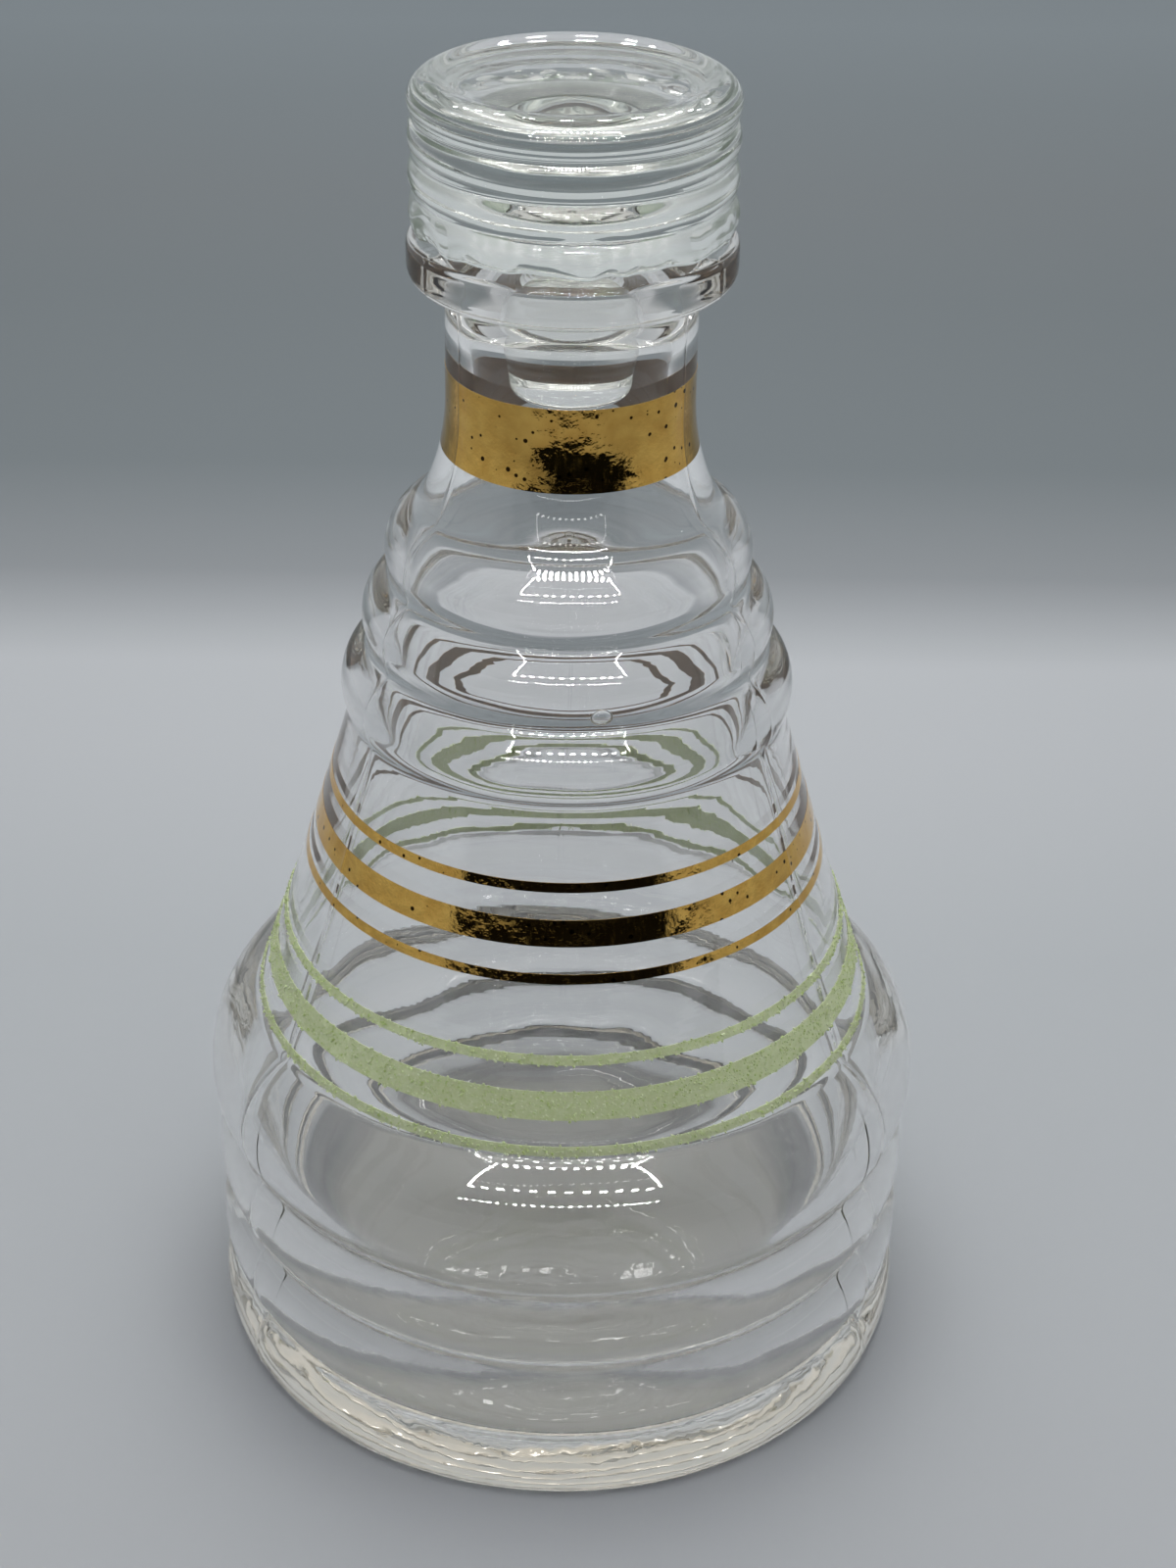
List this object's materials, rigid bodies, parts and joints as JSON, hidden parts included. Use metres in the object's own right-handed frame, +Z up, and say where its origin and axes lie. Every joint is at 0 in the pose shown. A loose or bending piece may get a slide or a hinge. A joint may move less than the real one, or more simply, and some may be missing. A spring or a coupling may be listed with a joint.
{
  "type": "glass carafe with stopper",
  "caption": "Glass carafe with a ringed base, a conical shoulder with gilded and gritty green bands, a gilded neck and a loose ribbed glass stopper that lifts out.",
  "frame": {"origin": "middle of the base, on the plane that the carafe stands on", "axes": "+Z up along the axis of the bottle and stopper; +X and +Y across it, with the pictured side towards -Y"},
  "size_m": [0.1206, 0.1206, 0.22],
  "materials": {
    "bottle_glass": "clear colourless soda-lime glass, fire polished, a little wavy from the mould",
    "stopper_glass": "clear pressed glass, faintly green at its edges",
    "gilding": "burnished bright gold, rubbed and pinholed",
    "green_grit": "fine green glass grit fused to the surface, sugary and matt"
  },
  "bodies": {
    "bottle": {"bottle": "bottle_glass", "neck_gold_band": "gilding", "shoulder_gold_band_upper": "gilding", "shoulder_gold_band_middle": "gilding", "shoulder_gold_band_lower": "gilding", "green_band_upper": "green_grit", "green_band_middle": "green_grit", "green_band_lower": "green_grit"},
    "stopper": {"stopper": "stopper_glass"}
  },
  "joints": [
    {"name": "stopper_lift", "type": "slide", "parent": "bottle", "child": "stopper", "axis": [0, 0, 1], "range_m": [0, 0.034]}
  ]
}
